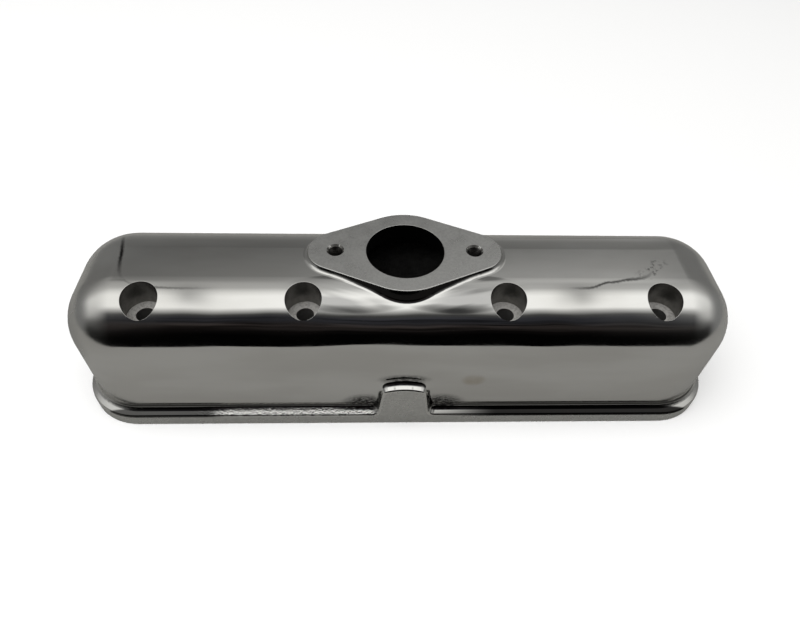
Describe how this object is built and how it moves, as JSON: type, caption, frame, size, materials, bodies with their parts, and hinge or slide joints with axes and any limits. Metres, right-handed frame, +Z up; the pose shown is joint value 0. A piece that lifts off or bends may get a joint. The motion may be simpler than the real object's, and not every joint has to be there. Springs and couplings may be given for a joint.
{
  "type": "intake manifold",
  "caption": "Polished cast plenum intake manifold with round shoulders, an open base on a rim, and a level two-bolt carburettor flange on top.",
  "frame": {"origin": "middle of the machined base face", "axes": "+X along the length, +Y towards the back, +Z up from the base face to the flange"},
  "size_m": [0.336, 0.0868, 0.0785],
  "materials": {
    "polished_aluminium": "hand polished, with satin machined faces"
  },
  "bodies": {
    "root": {"manifold_casting": "polished_aluminium"}
  },
  "joints": []
}
